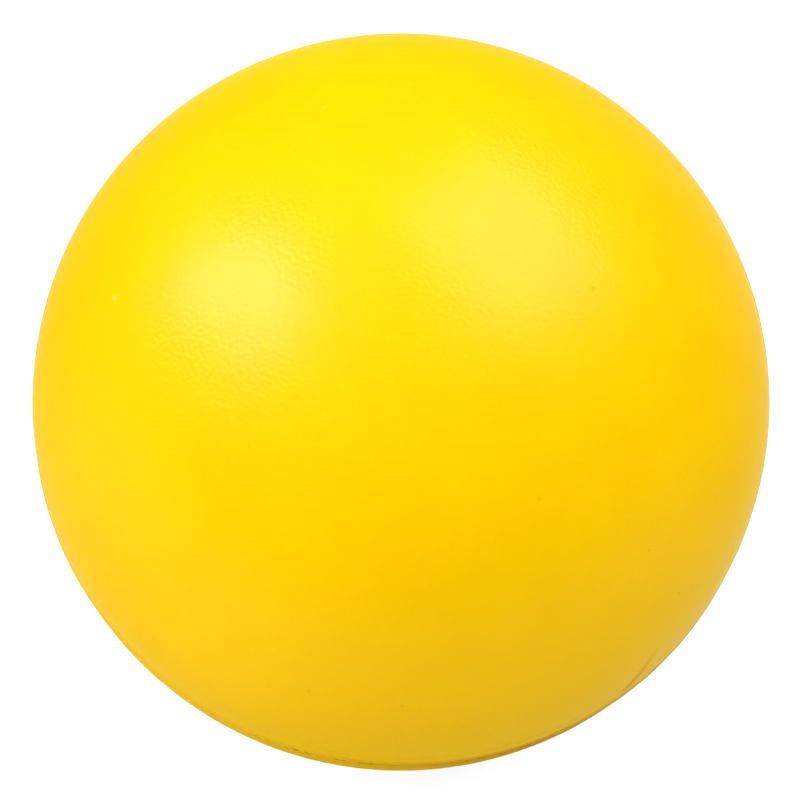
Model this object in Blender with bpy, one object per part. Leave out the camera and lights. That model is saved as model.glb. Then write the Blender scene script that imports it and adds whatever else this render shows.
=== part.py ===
"""A moulded polyurethane foam stress ball, 70 mm across, in four separate pieces.

The ball is foamed in a two-part mould. Each mould half is sprayed with paint before the foam
goes in, so the paint and the dense foam against the wall make one painted skin for each half.
The soft foam heart fills the inside. Where the mould halves meet, a little skinned foam runs out
between them and stays as a fine raised line round the equator.

Frame: metres, +Z up. The origin is the ball's centre and Z is the mould's axis, so the parting
plane is Z = 0. The ball's own weight flattens a small round patch of the lower skin, on which
it rests.
"""

import math

import bmesh
import bpy

# Driving dimensions
BALL_DIAMETER = 0.070
SKIN_THICKNESS = 0.0015
REST_PATCH_RADIUS = 0.004
SEAM_HEIGHT = 0.0007        # the seam bead, measured along Z where it crosses the skins
SEAM_CREST_HEIGHT = 0.0003  # the same, at its outer edge
SEAM_PROUD = 0.0002         # how far the bead stands out of the ball's surface
GAP = 0.0003                # clearance between neighbouring pieces

# Resolution of the round surfaces
SEGMENTS = 48               # around the Z axis
RINGS = 12                  # from the equator to a pole

SMOOTH_BELOW = math.radians(30)

# Sizes that follow from them
BALL_RADIUS = BALL_DIAMETER / 2
INNER_RADIUS = BALL_RADIUS - SKIN_THICKNESS
CORE_RADIUS = INNER_RADIUS - GAP
SKIN_EDGE_Z = SEAM_HEIGHT / 2 + GAP
REST_Z = -math.sqrt(BALL_RADIUS**2 - REST_PATCH_RADIUS**2)


def clear_scene():
    for obj in list(bpy.data.objects):
        bpy.data.objects.remove(obj, do_unlink=True)


def make_material(name, colour, roughness, metallic=0.0):
    """A Principled material; colour is linear RGB."""
    material = bpy.data.materials.new(name)
    material.use_nodes = True
    shader = material.node_tree.nodes["Principled BSDF"]
    shader.inputs["Base Color"].default_value = (*colour, 1.0)
    shader.inputs["Roughness"].default_value = roughness
    shader.inputs["Metallic"].default_value = metallic
    material.diffuse_color = (*colour, 1.0)
    return material


def skin_paint():
    return make_material("skin_paint", (1.0, 0.62, 0.004), 0.42)


def seam_paint():
    return make_material("seam_paint", (0.80, 0.46, 0.006), 0.5)


def open_cell_foam():
    return make_material("open_cell_foam", (0.82, 0.62, 0.22), 0.95)


def arc(radius, start_z, end_z, steps):
    """Points (distance from Z, height) on a sphere's outline, from one height to another."""
    start = math.asin(start_z / radius)
    end = math.asin(end_z / radius)
    angles = [start + (end - start) * i / steps for i in range(steps + 1)]
    return [(radius * math.cos(a), radius * math.sin(a)) for a in angles]


def turned(name, outline, closed, material):
    """A solid of revolution about Z. The outline runs round the section with the solid on its
    left, seen with distance from Z to the right and height upwards. An outline that isn't
    closed starts and ends on the axis."""
    bm = bmesh.new()
    rows = []
    for radius, height in outline:
        if radius < 1e-9:
            rows.append([bm.verts.new((0.0, 0.0, height))] * SEGMENTS)
            continue
        turns = [2 * math.pi * i / SEGMENTS for i in range(SEGMENTS)]
        rows.append([bm.verts.new((radius * math.cos(t), radius * math.sin(t), height)) for t in turns])
    pairs = list(zip(rows, rows[1:]))
    if closed:
        pairs.append((rows[-1], rows[0]))
    for low, high in pairs:
        for i in range(SEGMENTS):
            j = (i + 1) % SEGMENTS
            corners = [low[i], low[j], high[j], high[i]]
            corners = [v for k, v in enumerate(corners) if v is not corners[k - 1]]
            if len(corners) > 2:
                bm.faces.new(corners)
    mesh = bpy.data.meshes.new(name)
    bm.to_mesh(mesh)
    bm.free()
    mesh.shade_smooth()
    mesh.set_sharp_from_angle(angle=SMOOTH_BELOW)
    mesh.materials.append(material)
    obj = bpy.data.objects.new(name, mesh)
    bpy.context.scene.collection.objects.link(obj)
    return obj


def flipped(outline):
    """The same section mirrored in the parting plane, still with the solid on its left."""
    return [(radius, -height) for radius, height in reversed(outline)]


def make_foam_core(material):
    """The soft heart: a plain ball that fills the inside of both skins."""
    outline = arc(CORE_RADIUS, -CORE_RADIUS, CORE_RADIUS, 2 * RINGS)
    outline[0] = (0.0, -CORE_RADIUS)
    outline[-1] = (0.0, CORE_RADIUS)
    return turned("foam_core", outline, False, material)


def make_upper_skin(material):
    """The painted skin of the upper mould half: a hemispherical shell, open at the seam."""
    outer = arc(BALL_RADIUS, SKIN_EDGE_Z, BALL_RADIUS, RINGS)
    inner = arc(INNER_RADIUS, INNER_RADIUS, SKIN_EDGE_Z, RINGS)
    outer[-1] = (0.0, BALL_RADIUS)
    inner[0] = (0.0, INNER_RADIUS)
    return turned("upper_skin", shell_outline(outer, inner), False, material)


def make_lower_skin(material):
    """The painted skin of the lower mould half, with the flat patch on which the ball rests."""
    outer = arc(BALL_RADIUS, SKIN_EDGE_Z, -REST_Z, RINGS) + [(0.0, -REST_Z)]
    inner = arc(INNER_RADIUS, INNER_RADIUS, SKIN_EDGE_Z, RINGS)
    inner[0] = (0.0, INNER_RADIUS)
    return turned("lower_skin", flipped(shell_outline(outer, inner)), False, material)


def shell_outline(outer, inner):
    """The section of a cap whose two surfaces each meet the axis: it runs from the inner
    surface's pole down to the rim, across it, and up the outer surface to the other pole."""
    return inner + outer


def make_seam_bead(material):
    """The trimmed flash line: a thin ring between the two skins' edges, a little proud."""
    half = SEAM_HEIGHT / 2
    crest = SEAM_CREST_HEIGHT / 2
    outline = [
        (INNER_RADIUS, -half),
        (BALL_RADIUS, -half),
        (BALL_RADIUS + SEAM_PROUD, -crest),
        (BALL_RADIUS + SEAM_PROUD, crest),
        (BALL_RADIUS, half),
        (INNER_RADIUS, half),
    ]
    return turned("seam_bead", outline, True, material)


def build():
    clear_scene()
    paint = skin_paint()
    make_foam_core(open_cell_foam())
    make_lower_skin(paint)
    make_upper_skin(paint)
    make_seam_bead(seam_paint())


build()
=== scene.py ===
"""Looks of a yellow foam stress ball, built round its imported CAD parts.

The visible ball is two painted foam skins that meet in a fine trimmed moulding line. Their
meshes carry the shapes a hand would feel: the ball's slight waviness, the raised moulding line
and the shallow sink beside it, blisters under the paint, pinholes and one scuff. The paint's
orange peel is too fine for a mesh and is a bump in the material. Inside is the open-cell heart.

Places on the ball are given as an azimuth (0 faces the camera, 90 is to its right) and an
elevation above the parting plane, both in degrees, as round a globe.
"""

import math
import random

import bmesh
import bpy
import numpy as np
from mathutils import Matrix, Vector


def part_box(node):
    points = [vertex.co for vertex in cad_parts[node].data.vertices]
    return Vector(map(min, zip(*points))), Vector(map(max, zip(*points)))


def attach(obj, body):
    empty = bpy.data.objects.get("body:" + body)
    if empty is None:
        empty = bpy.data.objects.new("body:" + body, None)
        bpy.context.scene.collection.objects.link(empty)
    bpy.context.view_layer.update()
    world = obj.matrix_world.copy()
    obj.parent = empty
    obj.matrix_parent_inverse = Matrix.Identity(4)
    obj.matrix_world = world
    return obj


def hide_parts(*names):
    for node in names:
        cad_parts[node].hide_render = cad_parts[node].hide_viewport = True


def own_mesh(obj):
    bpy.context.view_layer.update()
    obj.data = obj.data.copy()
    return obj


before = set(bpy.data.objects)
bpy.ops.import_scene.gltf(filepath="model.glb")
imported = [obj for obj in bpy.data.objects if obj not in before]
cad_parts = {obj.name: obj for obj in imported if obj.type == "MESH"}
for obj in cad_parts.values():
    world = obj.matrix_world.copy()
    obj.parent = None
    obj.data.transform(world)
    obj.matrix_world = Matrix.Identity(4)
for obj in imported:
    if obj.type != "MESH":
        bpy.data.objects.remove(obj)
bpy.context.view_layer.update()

MM = 0.001

# Sizes from the CAD frame
BALL_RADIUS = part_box("upper_skin")[1].z
REST_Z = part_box("lower_skin")[0].z
CREST_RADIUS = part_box("seam_bead")[1].x
CORE_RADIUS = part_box("foam_core")[1].z
SKIN_INSIDE = CORE_RADIUS + 0.1 * MM

# The moulding line, as the skins' own surfaces rise to it
SEAM_PROUD = 0.4 * (CREST_RADIUS - BALL_RADIUS)     # trimmed closer than in the CAD
FLASH_HALF_WIDTH = 0.13 * MM    # half of the trimmed strip between the two skins
FLANK_WIDTH = 0.85 * MM         # over which each skin rises to the strip
FLANK_RISE = 0.9                # share of the strip's height that the skins reach
SINK_CENTRE = 1.75 * MM         # distance of the shallow sink from the parting plane
SINK_WIDTH = 0.85 * MM
SINK_DEPTH = 0.09 * MM

# The skin's outer surface lies within this of the CAD's radius
SURFACE_BAND = 0.3 * MM
# How softly the patch that the ball rests on blends into the rest
REST_EDGE = 0.02 * MM
# The ball's swells: height, wavelength and random seed
SWELLS = ((0.008 * MM, 45 * MM, 11), (0.003 * MM, 12 * MM, 12), (0.0014 * MM, 3.5 * MM, 13))

# Mesh density
CAP_CELLS = 232                 # grid cells across each skin's cap, a multiple of 4
CAP_EDGE_Z = 2.6 * MM           # where the seam's finer rings take over from the cap's grid
SEAM_RINGS = 22
INNER_SEGMENTS = CAP_CELLS // 2
INNER_RINGS = 24
BEAD_SEGMENTS = 2400
CORE_CELLS = 120

# The camera and the floor
VIEW_DISTANCE = 5.0             # from the ball's centre, in ball radii
VIEW_ELEVATION = 68.2
VIEW_TILT = 10.0
VIEW_SHIFT = (-0.0012, 0.0023)  # the ball sits a hair right of and below the middle of the picture
BALL_SHARE = 0.9221             # of the picture's width that the ball fills
SENSOR = 36.0
FLOOR_RADIUS = 4.0


# --- numbers and places ---------------------------------------------------------------------

def direction(azimuth, elevation):
    """Unit vector towards a place on the ball."""
    a, e = math.radians(azimuth), math.radians(elevation)
    return np.array([math.sin(a) * math.cos(e), -math.cos(a) * math.cos(e), math.sin(e)])


VIEW_BACK = direction(0, VIEW_ELEVATION)


def waves(points, wavelength, seed, count=40):
    """Smooth random relief of about unit size: many plane waves of nearly one wavelength."""
    rng = np.random.RandomState(seed)
    total = np.zeros(len(points))
    for _ in range(count):
        heading = rng.normal(size=3)
        heading /= np.linalg.norm(heading)
        number = 2 * math.pi / (wavelength * rng.uniform(0.75, 1.35))
        total += np.cos(points @ (heading * number) + rng.uniform(0, 2 * math.pi))
    return total / math.sqrt(count / 2)


def smoothstep(low, high, value):
    t = np.clip((value - low) / (high - low), 0, 1)
    return t * t * (3 - 2 * t)


# --- faults of the moulded surface ------------------------------------------------------------

class Spot:
    """A blister (height above 0) or a pinhole (below 0), with the dirt it holds, 0 to 1."""

    def __init__(self, azimuth, elevation, width_mm, height_mm, dirt=0.0):
        self.at = direction(azimuth, elevation) * BALL_RADIUS
        self.radius = width_mm * MM / 2
        self.height = height_mm * MM
        self.dirt = dirt

    def share(self, points):
        away = np.linalg.norm(points - self.at, axis=1)
        return np.exp(-1.5 * (away / self.radius) ** 2)


# The marks that can be made out from the front: azimuth, elevation, width and height or depth,
# in degrees and mm
BLISTERS = (
    (-79, 43, 0.6, 0.10),
    (-140, 62, 0.5, 0.035),
    (-160, 54, 0.5, 0.04),
    (25, 16, 0.4, 0.03),
    (47, 32, 0.4, 0.025),
)
PINHOLES = (
    (88, 67, 0.5, 0.045),
    (52, 36, 0.3, 0.06),
    (55, 23, 0.35, 0.06),
    (35, 53, 0.3, 0.03),
    (8, 22, 0.3, 0.045),
    (-6, 22, 0.35, 0.045),
    (-31, 14, 0.35, 0.03),
    (-40, 28, 0.3, 0.035),
    (-122, 66, 0.3, 0.03),
)

# The scuff near the moulding line, from one end to the other, and its soft width at each end
SCUFF = ((44, 3), (51, 15))
SCUFF_WIDTHS = (1.0 * MM, 0.45 * MM)
SCUFF_DEPTH = 0.012 * MM

# Where painted shade darkens the paint and turns it more orange along the moulding line: azimuth and
# half-width, and how far above and below the parting plane it reaches
SEAM_SHADE_ARCS = ((31, 30), (157, 38), (-112, 22))
SEAM_SHADE_ABOVE = 1.2 * MM
SEAM_SHADE_BELOW = 4.5 * MM


def placed_spots():
    raised = [Spot(a, e, w, h) for a, e, w, h in BLISTERS]
    deepest = max(h for a, e, w, h in PINHOLES)
    holes = [Spot(a, e, w, -h, dirt=h / deepest) for a, e, w, h in PINHOLES]
    return raised + holes


def scattered_spots(seed, count, above):
    """Spots like the placed ones over the rest of a skin, even by area. The upper skin's stay
    clear of nearly all that the camera sees."""
    rng = random.Random(seed)
    spots = []
    while len(spots) < count:
        azimuth = rng.uniform(-180, 180)
        elevation = math.degrees(math.asin(rng.uniform(0.09, 1.0)))
        raised = rng.random() < 0.45
        width, height, dirt = rng.uniform(0.25, 0.6), rng.uniform(0.3, 1.0), rng.uniform(0.3, 1.0)
        if above and direction(azimuth, elevation) @ VIEW_BACK > 0.25:
            continue
        if not above:
            elevation = -elevation
        if raised:
            spots.append(Spot(azimuth, elevation, width, 0.045 * height))
        else:
            spots.append(Spot(azimuth, elevation, 0.6 * width, -0.06 * height, dirt=dirt))
    return spots


# --- meshes -------------------------------------------------------------------------------------

def concentric_grid(cells):
    """x and y of a square grid bent into a unit disc: the square's edge becomes the disc's, and
    the cells keep nearly equal areas."""
    side = np.linspace(-1, 1, cells + 1)
    x, y = (v.ravel() for v in np.meshgrid(side, side, indexing="ij"))
    wide = np.abs(x) > np.abs(y)
    radius = np.where(wide, x, y)
    ratio = np.where(wide, y, x) / np.where(radius == 0, 1, radius)
    turn = np.where(wide, ratio * math.pi / 4, math.pi / 2 - ratio * math.pi / 4)
    return radius * np.cos(turn), radius * np.sin(turn)


def cap_points(cells, edge_z):
    """Unit vectors over the top of a sphere down to edge_z, with cells of equal area."""
    x, y = concentric_grid(cells)
    r2 = x * x + y * y
    z = 1 - r2 * (1 - edge_z)
    across = np.sqrt(np.maximum(1 - z * z, 0) / np.maximum(r2, 1e-12))
    return np.stack([x * across, y * across, z], axis=1)


def grid_faces(cells):
    n = cells + 1
    a = (np.arange(cells)[:, None] * n + np.arange(cells)).ravel()
    return np.stack([a, a + n, a + n + 1, a + 1], axis=1).tolist()


def grid_edge(cells):
    """Indices of the grid's edge points, once round, anticlockwise seen from above."""
    n = cells + 1
    index = np.arange(n * n).reshape(n, n)
    return np.concatenate([index[:-1, 0], index[-1, :-1], index[:0:-1, -1], index[0, :0:-1]])


def ring_faces(first, second):
    """Quads between two rings of equally many points."""
    count = len(first)
    return [[first[i], second[i], second[(i + 1) % count], first[(i + 1) % count]] for i in range(count)]


class Shell:
    """Points and faces of a skin while it is put together."""

    def __init__(self):
        self.points = np.zeros((0, 3))
        self.faces = []

    def add(self, points):
        start = len(self.points)
        self.points = np.concatenate([self.points, points])
        return np.arange(start, start + len(points))

    def add_ring(self, across, height, turns):
        columns = [across * np.cos(turns), across * np.sin(turns), np.full(len(turns), height)]
        return self.add(np.stack(columns, axis=1))


def skin_shell():
    """A skin of the upper half as a closed shell, still exactly round."""
    shell = Shell()
    shell.add(cap_points(CAP_CELLS, CAP_EDGE_Z / BALL_RADIUS) * BALL_RADIUS)
    shell.faces += grid_faces(CAP_CELLS)
    ring = grid_edge(CAP_CELLS)
    turns = np.arctan2(shell.points[ring, 1], shell.points[ring, 0])
    for k in range(1, SEAM_RINGS + 1):
        # the rings crowd towards the moulding line
        height = FLASH_HALF_WIDTH + (CAP_EDGE_Z - FLASH_HALF_WIDTH) * (1 - k / SEAM_RINGS) ** 1.6
        below = shell.add_ring(math.sqrt(BALL_RADIUS**2 - height**2), height, turns)
        shell.faces += ring_faces(ring, below)
        ring = below
    add_inside(shell, ring, turns)
    return shell


def add_inside(shell, rim, turns):
    """The flat rim and the inner surface, which has one point for several of the rim's."""
    step = len(rim) // INNER_SEGMENTS
    low = math.asin(FLASH_HALF_WIDTH / SKIN_INSIDE)
    ring = None
    for k in range(INNER_RINGS):
        rise = low + (math.pi / 2 - low) * k / INNER_RINGS
        above = shell.add_ring(SKIN_INSIDE * math.cos(rise), SKIN_INSIDE * math.sin(rise), turns[::step])
        if ring is None:
            for i in range(INNER_SEGMENTS):
                outside = [rim[(i * step + j) % len(rim)] for j in range(step + 1)]
                shell.faces.append(outside + [above[(i + 1) % INNER_SEGMENTS], above[i]])
        else:
            shell.faces += ring_faces(ring, above)
        ring = above
    pole = shell.add(np.array([[0, 0, SKIN_INSIDE]]))[0]
    shell.faces += [[ring[i], pole, ring[(i + 1) % INNER_SEGMENTS]] for i in range(INNER_SEGMENTS)]


def mesh_from(name, points, faces):
    mesh = bpy.data.meshes.new(name)
    mesh.from_pydata(points.tolist(), [], [[int(v) for v in face] for face in faces])
    return mesh


def refine(mesh, spots):
    """Splits the faces round each spot and along the scuff into sixteen."""
    centres = np.zeros(len(mesh.polygons) * 3)
    mesh.polygons.foreach_get("center", centres)
    centres = centres.reshape(-1, 3)
    near = np.zeros(len(centres), bool)
    outside = np.linalg.norm(centres, axis=1) > BALL_RADIUS - SURFACE_BAND
    for spot in spots:
        near |= np.linalg.norm(centres - spot.at, axis=1) < 1.4 * spot.radius + 0.3 * MM
    if centres[:, 2].mean() > 0:
        near |= scuff_share(centres, reach=3.0) > 0
    bm = bmesh.new()
    bm.from_mesh(mesh)
    bm.faces.ensure_lookup_table()
    edges = {e for i in np.flatnonzero(near & outside) for e in bm.faces[i].edges}
    in_order = sorted(edges, key=lambda e: e.index)
    bmesh.ops.subdivide_edges(bm, edges=in_order, cuts=3, use_grid_fill=True)
    bmesh.ops.recalc_face_normals(bm, faces=bm.faces)
    bm.to_mesh(mesh)
    bm.free()


def scuff_share(points, reach=1.0):
    """1 in the middle of the scuff, falling to 0 at its sides and ends."""
    start, end = (direction(*place) * BALL_RADIUS for place in SCUFF)
    along = (points - start) @ (end - start) / ((end - start) @ (end - start))
    t = np.clip(along, 0, 1)
    away = np.linalg.norm(points - (start + t[:, None] * (end - start)), axis=1)
    width = (SCUFF_WIDTHS[0] + (SCUFF_WIDTHS[1] - SCUFF_WIDTHS[0]) * t) * reach
    ends = smoothstep(-0.05, 0.15, along) * (1 - smoothstep(0.45, 0.95, along))
    return np.clip(1 - away / width, 0, 1) * ends


def seam_relief(height):
    """How far a skin stands out near the parting plane, from the height above it."""
    distance = np.abs(height)
    rise = 1 - smoothstep(FLASH_HALF_WIDTH, FLASH_HALF_WIDTH + FLANK_WIDTH, distance)
    sink = np.exp(-(((distance - SINK_CENTRE) / SINK_WIDTH) ** 2))
    return SEAM_PROUD * FLANK_RISE * rise - SINK_DEPTH * sink * (1 - rise)


def waviness(points):
    """The ball isn't quite round: long swells and shorter, shallower ones."""
    return sum(height * waves(points, wavelength, seed) for height, wavelength, seed in SWELLS)


def shape_skin(mesh, spots):
    """Moves the outer surface to its true shape and stores what the paint needs to know: where each
    point rests, how dirty, raised or scuffed it is, and how much painted shade it takes along the
    moulding line."""
    points = np.zeros(len(mesh.vertices) * 3)
    mesh.vertices.foreach_get("co", points)
    points = points.reshape(-1, 3)
    length = np.linalg.norm(points, axis=1)
    outside = length > BALL_RADIUS - SURFACE_BAND
    unit = points[outside] / length[outside, None]
    surface = unit * BALL_RADIUS
    relief = waviness(surface) + seam_relief(surface[:, 2])
    dirt = np.zeros(len(surface))
    raised = np.zeros(len(surface))
    for spot in spots:
        share = spot.share(surface)
        relief += spot.height * share
        dirt = np.maximum(dirt, spot.dirt * share)
        if spot.height > 0:
            raised = np.maximum(raised, share)
    scuff = scuff_share(surface) if surface[:, 2].mean() > 0 else np.zeros(len(surface))
    relief -= SCUFF_DEPTH * scuff
    points[outside] = unit * (BALL_RADIUS + relief)[:, None]
    points[:, 2] = above_rest(points[:, 2])
    mesh.vertices.foreach_set("co", points.ravel())
    store(mesh, "dirt", dirt, outside)
    store(mesh, "raised", raised, outside)
    store(mesh, "scuff", scuff, outside)
    # painted shade along the moulding line, reaching further below it than above
    reach = np.where(surface[:, 2] > 0, SEAM_SHADE_ABOVE, SEAM_SHADE_BELOW)
    edge = 1 - smoothstep(0.4 * reach, reach, np.abs(surface[:, 2]))
    store(mesh, "painted_seam_shade", edge * seam_shade_share(surface), outside)
    store_rest(mesh, points)


def seam_shade_share(points):
    """How strong the painted shade along the moulding line is, 0.1 to 1, by azimuth."""
    azimuths = np.degrees(np.arctan2(points[:, 0], -points[:, 1]))
    shade_depth = np.zeros(len(points))
    for centre, width in SEAM_SHADE_ARCS:
        away = (azimuths - centre + 180) % 360 - 180
        shade_depth = np.maximum(shade_depth, np.exp(-((away / width) ** 2)))
    return 0.1 + 0.9 * shade_depth


def above_rest(height):
    """The ball's weight presses its lowest points into a flat patch with a soft edge."""
    over = height - REST_Z
    return REST_Z + 0.5 * (over + np.sqrt(over * over + REST_EDGE**2))


def store(mesh, name, values, where):
    everywhere = np.zeros(len(mesh.vertices))
    everywhere[where] = values
    layer = mesh.attributes.new(name, "FLOAT", "POINT")
    layer.data.foreach_set("value", everywhere)


def store_rest(mesh, points):
    """The resting place of each point, in millimetres, so that the paint's grain moves with the
    surface when the ball is squeezed."""
    layer = mesh.attributes.new("rest_mm", "FLOAT_VECTOR", "POINT")
    layer.data.foreach_set("vector", (points / MM).ravel())


def add_object(name, mesh, material):
    mesh.shade_smooth()
    mesh.set_sharp_from_angle(angle=math.radians(50))
    mesh.materials.append(material)
    obj = bpy.data.objects.new(name, mesh)
    bpy.context.scene.collection.objects.link(obj)
    return obj


def make_skin(name, upper, spots, material):
    shell = skin_shell()
    if not upper:
        shell.points[:, 2] *= -1
    mesh = mesh_from(name, shell.points, shell.faces)
    refine(mesh, spots)
    shape_skin(mesh, spots)
    return add_object(name, mesh, material)


def make_bead(material):
    """The trimmed flash: a thin ring whose outer edge is nicked here and there."""
    turns = np.linspace(0, 2 * math.pi, BEAD_SEGMENTS, endpoint=False)
    half = FLASH_HALF_WIDTH - 0.01 * MM
    proud = SEAM_PROUD
    # (distance from the axis less the ball's radius, height, share of the nicks it feels)
    profile = (
        (SKIN_INSIDE - BALL_RADIUS, -half, 0.0),
        (proud * 0.55, -half, 0.0),
        (proud * 0.86, -half, 0.6),
        (proud * 0.97, -half * 0.5, 1.0),
        (proud, 0.0, 1.0),
        (proud * 0.97, half * 0.5, 1.0),
        (proud * 0.86, half, 0.6),
        (proud * 0.55, half, 0.0),
        (SKIN_INSIDE - BALL_RADIUS, half, 0.0),
    )
    circle = np.stack([np.cos(turns), np.sin(turns), np.zeros(len(turns))], axis=1) * BALL_RADIUS
    ragged = waves(circle, 1.1 * MM, seed=21) + 0.8 * waves(circle, 0.45 * MM, seed=22)
    nicks = smoothstep(0.5, 1.5, ragged)
    wander = waves(circle, 6 * MM, seed=23)
    shell = Shell()
    nick_shares = []
    rings = []
    for outwards, height, feels in profile:
        # the crest wavers by a hundredth of a millimetre or two and drops at each nick
        across = BALL_RADIUS + outwards + feels * MM * (0.010 * wander - 0.09 * nicks)
        if feels:
            across += waviness(circle)
        columns = [across * np.cos(turns), across * np.sin(turns), np.full(len(turns), height)]
        rings.append(shell.add(np.stack(columns, axis=1)))
        nick_shares.append(nicks * feels)
    for k, ring in enumerate(rings):
        shell.faces += ring_faces(ring, rings[(k + 1) % len(rings)])
    mesh = mesh_from("moulding_line", shell.points, [face[::-1] for face in shell.faces])
    everywhere = np.ones(len(shell.points), bool)
    store(mesh, "dirt", np.concatenate(nick_shares), everywhere)
    store(mesh, "raised", np.zeros(len(shell.points)), everywhere)
    store(mesh, "scuff", np.zeros(len(shell.points)), everywhere)
    # the same painted shade along the moulding line on the trimmed strip
    store(mesh, "painted_seam_shade", seam_shade_share(shell.points), everywhere)
    store_rest(mesh, shell.points)
    return add_object("moulding_line", mesh, material)


def make_core(material):
    """The open-cell heart: a ball pitted all over by cut cells."""
    cap = cap_points(CORE_CELLS, 0.0)
    edge = grid_edge(CORE_CELLS)
    inner = np.ones(len(cap), bool)
    inner[edge] = False
    below = np.cumsum(inner) - 1 + len(cap)
    below[edge] = edge
    points = np.concatenate([cap, (cap * [1, 1, -1])[inner]]) * CORE_RADIUS
    faces = grid_faces(CORE_CELLS)
    faces = faces + [[int(below[v]) for v in face[::-1]] for face in faces]
    cells = waves(points, 2.2 * MM, seed=31, count=60)
    relief = 0.10 * MM * np.minimum(cells, 0.4) - 0.12 * MM
    points *= 1 + relief[:, None] / CORE_RADIUS
    mesh = mesh_from("foam_heart", points, faces)
    store_rest(mesh, points)
    return add_object("foam_heart", mesh, material)


# --- materials ------------------------------------------------------------------------------------

class Nodes:
    """A short way to write a material's node tree."""

    def __init__(self, name):
        self.material = bpy.data.materials.new(name)
        self.material.use_nodes = True
        self.tree = self.material.node_tree
        self.shader = self.tree.nodes["Principled BSDF"]

    def add(self, kind, inputs=None, **settings):
        node = self.tree.nodes.new(kind)
        for key, value in settings.items():
            setattr(node, key, value)
        for key, value in (inputs or {}).items():
            self.set(node.inputs[key], value)
        return node

    def set(self, socket, value):
        if isinstance(value, bpy.types.NodeSocket):
            self.tree.links.new(value, socket)
        else:
            socket.default_value = value

    def attribute(self, name, output):
        return self.add("ShaderNodeAttribute", attribute_name=name).outputs[output]

    def noise(self, coordinates, wavelength_mm, detail=2.0, roughness=0.5, distortion=0.0):
        inputs = {"Vector": coordinates, "Scale": 1 / wavelength_mm, "Detail": detail,
                  "Roughness": roughness, "Distortion": distortion}
        return self.add("ShaderNodeTexNoise", inputs).outputs["Fac"]

    def math(self, operation, a, b=0.0, c=0.0):
        return self.add("ShaderNodeMath", {0: a, 1: b, 2: c}, operation=operation).outputs[0]

    def span(self, value, from_low, from_high, to_low=0.0, to_high=1.0):
        inputs = {"Value": value, "From Min": from_low, "From Max": from_high,
                  "To Min": to_low, "To Max": to_high}
        return self.add("ShaderNodeMapRange", inputs, interpolation_type="SMOOTHSTEP").outputs["Result"]

    def mix(self, share, a, b):
        node = self.add("ShaderNodeMix", data_type="RGBA")
        self.set(node.inputs[0], share)
        self.set(node.inputs[6], a)
        self.set(node.inputs[7], b)
        return node.outputs[2]

    def bump(self, height, distance_mm, normal=None):
        inputs = {"Height": height, "Distance": distance_mm * MM, "Strength": 1.0}
        node = self.add("ShaderNodeBump", inputs)
        if normal is not None:
            self.set(node.inputs["Normal"], normal)
        return node.outputs["Normal"]

    def finish(self, **inputs):
        for name, value in inputs.items():
            self.set(self.shader.inputs[name.replace("_", " ")], value)
        return self.material


def rgb(red, green, blue):
    return (red, green, blue, 1.0)


# The paint: its usual shades, painted light edge-on, a painted highlight over blisters, painted shade
# along the moulding line, and black to the floor
PAINT = rgb(0.935, 0.552, 0.0004)
PAINT_DEEP = rgb(0.92, 0.53, 0.0004)
PAINT_LIGHT = rgb(0.95, 0.585, 0.001)
PAINTED_EDGE_LIGHT = rgb(1.0, 0.625, 0.001)
PAINT_BLISTER_HIGHLIGHT = rgb(0.95, 0.66, 0.07)
PAINT_SEAM_SHADE = rgb(0.70, 0.36, 0.0005)
BOUNCED = rgb(0.0, 0.0, 0.0)
# Its faults: dirt in the pinholes, dirt in the moulding line's nicks, and the scuff
DIRT = rgb(0.40, 0.24, 0.004)
NICKED = rgb(0.20, 0.13, 0.01)
SCUFFED = rgb(0.66, 0.27, 0.002)


def paint_material(name, seam_dirt=0.0):
    """Sprayed satin paint on moulded foam. seam_dirt is above 0 only for the moulding line."""
    n = Nodes(name)
    place = n.attribute("rest_mm", "Vector")
    blotches = n.span(n.noise(place, 9.0, detail=3.0), 0.35, 0.65)
    mottle = n.noise(place, 0.7, detail=3.0, roughness=0.6)
    colour = n.mix(blotches, PAINT, PAINT_DEEP)
    colour = n.mix(n.span(mottle, 0.3, 0.75, 0.0, 0.25), colour, PAINT_LIGHT)
    # painted light: the paint turns brighter towards the outline, where the light on it falls off
    edge_light_share = n.add("ShaderNodeLayerWeight", {"Blend": 0.5}).outputs["Facing"]
    colour = n.mix(n.span(edge_light_share, 0.55, 0.95), colour, PAINTED_EDGE_LIGHT)
    # a painted highlight: paler over the blisters
    colour = n.mix(n.math("MULTIPLY", n.attribute("raised", "Fac"), 0.3), colour, PAINT_BLISTER_HIGHLIGHT)
    # painted shade: darker and more orange along the moulding line
    colour = n.mix(n.attribute("painted_seam_shade", "Fac"), colour, PAINT_SEAM_SHADE)
    colour = n.mix(n.attribute("scuff", "Fac"), colour, SCUFFED)
    hole = n.math("MULTIPLY", n.attribute("dirt", "Fac"), 0.95 if seam_dirt else 0.45)
    colour = n.mix(hole, colour, NICKED if seam_dirt else DIRT)
    if seam_dirt:
        smears = n.span(n.noise(place, 0.8, detail=4.0), 0.5, 0.66, 0.0, seam_dirt)
        colour = n.mix(smears, colour, NICKED)
    # the floor sees a black ball, so that no yellow glow spreads on it
    from_floor = n.add("ShaderNodeLightPath").outputs["Is Diffuse Ray"]
    colour = n.mix(from_floor, colour, BOUNCED)
    roughness = n.math("ADD", n.span(n.noise(place, 2.5, detail=3.0), 0.2, 0.8, 0.28, 0.31),
                       n.span(n.noise(place, 0.36, detail=0.0), 0.3, 0.7, 0.0, 0.055))
    peel = n.noise(place, 0.40, detail=0.0, distortion=0.2)
    grain = n.noise(place, 0.25, detail=1.0)
    normal = n.bump(grain, 0.003)
    normal = n.bump(peel, 0.018, normal)
    return n.finish(Base_Color=colour, Roughness=roughness, Normal=normal, IOR=1.48)


def foam_cells(n, place, fineness):
    cells = n.add("ShaderNodeTexVoronoi", {"Vector": place, "Scale": fineness}, feature="F1")
    return cells.outputs["Distance"]


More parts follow.
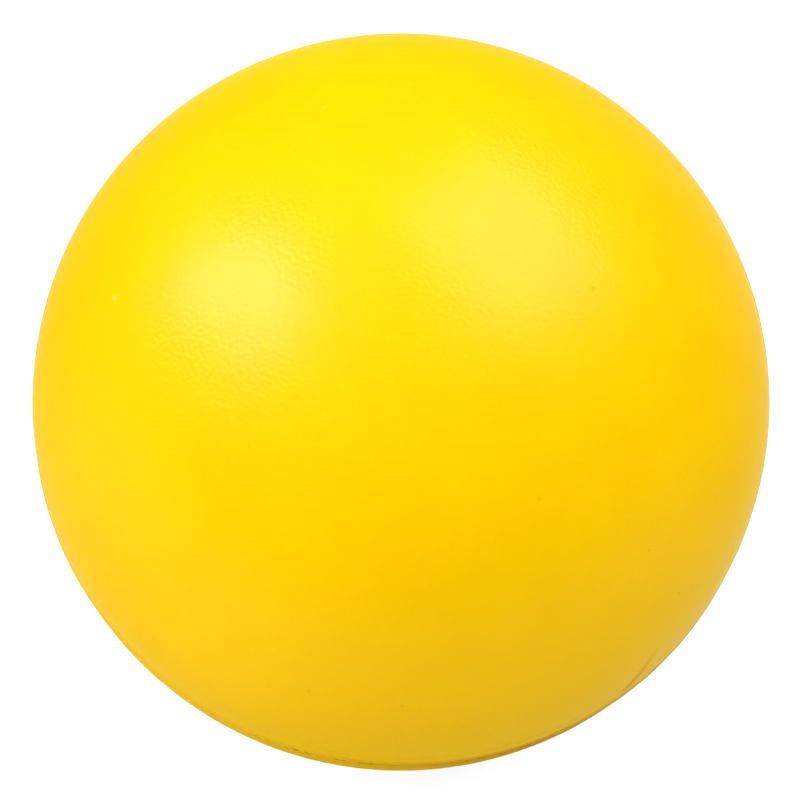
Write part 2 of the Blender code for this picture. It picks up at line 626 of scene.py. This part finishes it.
def foam_material():
    """Open-cell foam: round cells with thin pale walls and painted shade in their depths."""
    n = Nodes("open_cell_foam")
    place = n.attribute("rest_mm", "Vector")
    coarse = n.math("MULTIPLY", foam_cells(n, place, 2.2), 0.7)
    fine = n.math("MULTIPLY", foam_cells(n, place, 5.0), 0.3)
    shade_depth = n.math("ADD", coarse, fine)
    # painted shade: darker towards the depth of each cell
    colour = n.mix(n.span(shade_depth, 0.1, 0.6), rgb(0.42, 0.30, 0.09), rgb(0.83, 0.68, 0.30))
    return n.finish(Base_Color=colour, Roughness=0.95, Normal=n.bump(shade_depth, 0.25))


# --- stage ------------------------------------------------------------------------------------------

def make_camera():
    data = bpy.data.cameras.new("camera")
    half_angle = math.asin(1 / VIEW_DISTANCE)
    data.sensor_width = SENSOR
    data.lens = SENSOR / 2 * BALL_SHARE / math.tan(half_angle)
    data.clip_start, data.clip_end = 0.01, 20
    camera = bpy.data.objects.new("camera", data)
    bpy.context.scene.collection.objects.link(camera)
    back = Vector(VIEW_BACK)
    camera.location = back * VIEW_DISTANCE * BALL_RADIUS
    camera.rotation_mode = "QUATERNION"
    turn = Matrix.Rotation(math.radians(VIEW_TILT), 3, back)
    camera.rotation_quaternion = (turn @ back.to_track_quat("Z", "Y").to_matrix()).to_quaternion()
    data.shift_x, data.shift_y = VIEW_SHIFT
    bpy.context.scene.camera = camera


def make_floor():
    """A pale floor that only the camera sees, with a little glow of its own."""
    mesh = bpy.data.meshes.new("floor")
    bm = bmesh.new()
    bmesh.ops.create_circle(bm, cap_ends=True, segments=96, radius=FLOOR_RADIUS)
    bm.to_mesh(mesh)
    bm.free()
    n = Nodes("pale_floor")
    # the glow is the camera's alone
    seen = n.add("ShaderNodeLightPath").outputs["Is Camera Ray"]
    glow = n.math("MULTIPLY", seen, 0.40)
    mesh.materials.append(n.finish(Base_Color=rgb(0.87, 0.87, 0.87), Roughness=0.9,
                                   Specular_IOR_Level=0.0, Emission_Color=rgb(1, 1, 1),
                                   Emission_Strength=glow))
    floor = bpy.data.objects.new("floor", mesh)
    bpy.context.scene.collection.objects.link(floor)
    floor.location.z = REST_Z
    floor.visible_glossy = floor.visible_diffuse = floor.visible_shadow = False


def make_light(name, azimuth, elevation, distance, width, height, radiance,
               shape="RECTANGLE", spin=0.0):
    """A soft box that faces the ball. Its brightness is given as radiance."""
    data = bpy.data.lights.new(name, "AREA")
    data.shape = shape
    data.size, data.size_y = width, height
    area = width * height * (math.pi / 4 if shape == "ELLIPSE" else 1)
    data.energy = radiance * math.pi * area
    light = bpy.data.objects.new(name, data)
    bpy.context.scene.collection.objects.link(light)
    towards = Vector(direction(azimuth, elevation))
    light.location = towards * distance
    light.rotation_mode = "QUATERNION"
    spun = Matrix.Rotation(math.radians(spin), 3, towards)
    light.rotation_quaternion = (spun @ towards.to_track_quat("Z", "Y").to_matrix()).to_quaternion()
    light.visible_camera = False
    return light


def make_fill(name, azimuth, elevation, radiance, distance=3.0, side=3.75):
    """A large soft light that brightens the ball evenly but doesn't show in its sheen."""
    light = make_light(name, azimuth, elevation, distance, side, side, radiance)
    light.visible_glossy = False
    light.data.cycles.use_multiple_importance_sampling = False


def make_world():
    """White to the camera and dark otherwise, but for the light from beyond and below that the
    ball's edges mirror."""
    world = bpy.data.worlds.new("studio")
    world.use_nodes = True
    world.cycles.sampling_method = "NONE"
    bpy.context.scene.world = world
    tree = world.node_tree
    tree.nodes.clear()

    def node(kind, inputs=None, **settings):
        made = tree.nodes.new(kind)
        for key, value in settings.items():
            setattr(made, key, value)
        for key, value in (inputs or {}).items():
            if isinstance(value, bpy.types.NodeSocket):
                tree.links.new(value, made.inputs[key])
            else:
                made.inputs[key].default_value = value
        return made

    def calc(operation, a, b):
        return node("ShaderNodeMath", {0: a, 1: b}, operation=operation).outputs[0]

    def towards(place):
        dot = node("ShaderNodeVectorMath", {0: heading, 1: tuple(place)}, operation="DOT_PRODUCT")
        return calc("MAXIMUM", dot.outputs["Value"], 0.0)

    heading = node("ShaderNodeTexCoord").outputs["Generated"]
    past_ball = towards(-VIEW_BACK)
    up = node("ShaderNodeSeparateXYZ", {0: heading}).outputs[2]
    # the white sweep beyond the ball, but not the shadow under it and to its right
    sweep = calc("MULTIPLY", towards((1, 0, 0)), 0.64)
    sweep = calc("ADD", sweep, calc("MULTIPLY", towards((-1, 0, 0)), 0.13))
    sweep = calc("MULTIPLY", calc("ADD", sweep, 0.08), calc("POWER", past_ball, 3.0))
    sweep = calc("ADD", sweep, calc("MULTIPLY", calc("POWER", past_ball, 20.0), 2.6))
    clear = calc("ADD", calc("ADD", up, 0.97), calc("MULTIPLY", towards((-1, 0, 0)), 0.4))
    clear = calc("MINIMUM", calc("MAXIMUM", calc("MULTIPLY", clear, 14.0), 0.0), 1.0)
    # the table in front, brighter with distance
    table = calc("MULTIPLY", calc("POWER", calc("MAXIMUM", calc("ADD", up, 1.0), 0.0), 0.7), 0.40)
    front = calc("MINIMUM", calc("MULTIPLY", towards(direction(0, VIEW_ELEVATION - 90)), 3.0), 1.0)
    table = calc("MULTIPLY", table, calc("MULTIPLY", front, calc("LESS_THAN", up, 0.0)))
    seen = calc("ADD", calc("MULTIPLY", sweep, clear), table)
    path = node("ShaderNodeLightPath")
    mirrored = calc("MULTIPLY", path.outputs["Is Glossy Ray"], seen)
    # the background's own colour is a grey of 0.8, which this makes white
    white = calc("MULTIPLY", path.outputs["Is Camera Ray"], 1.25)
    strength = calc("MAXIMUM", white, mirrored)
    background = node("ShaderNodeBackground", {"Strength": strength})
    out = node("ShaderNodeOutputWorld")
    tree.links.new(background.outputs[0], out.inputs[0])


def make_stage():
    make_camera()
    make_floor()
    make_light("left_box", -104, 34, 1.2, 0.43, 0.72, 4.3, "ELLIPSE", 29)
    make_light("left_box_wing", -89, 48, 1.2, 0.31, 0.60, 4.65, "ELLIPSE", 52)
    make_light("right_box", 147, 52, 1.2, 0.91, 0.89, 2.05, spin=-10.5)
    make_fill("left_fill", -90, 35, 1.65)
    make_fill("front_fill", 0, 35, 1.4)
    make_fill("east_fill", 90, 20, 0.25)
    make_fill("right_fill", 135, 35, 1.5)
    make_fill("back_fill", 180, 35, 0.8)
    # the floor's bounce, from just below it
    make_fill("floor_fill", 0, -90, 1.0, distance=0.1, side=6.0)
    make_world()
    scene = bpy.context.scene
    scene.view_settings.view_transform = "Standard"
    scene.view_settings.look = "None"


# --- the ball -------------------------------------------------------------------------------------

def flatten(piece):
    """Gives the piece a mesh of its own."""
    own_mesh(piece)


def dress(piece, body, node):
    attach(piece, body)
    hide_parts(node)
    flatten(piece)


def make_ball():
    paint = paint_material("skin_paint")
    seam_paint = paint_material("seam_paint", seam_dirt=0.5)
    upper_spots = placed_spots() + scattered_spots(5, 60, above=True)
    lower_spots = scattered_spots(6, 90, above=False)
    upper = make_skin("upper_skin_painted", True, upper_spots, paint)
    lower = make_skin("lower_skin_painted", False, lower_spots, paint)
    bead = make_bead(seam_paint)
    core = make_core(foam_material())
    dress(upper, "upper_half", "upper_skin")
    dress(lower, "lower_half", "lower_skin")
    dress(bead, "foam_middle", "seam_bead")
    dress(core, "foam_middle", "foam_core")


make_ball()
make_stage()
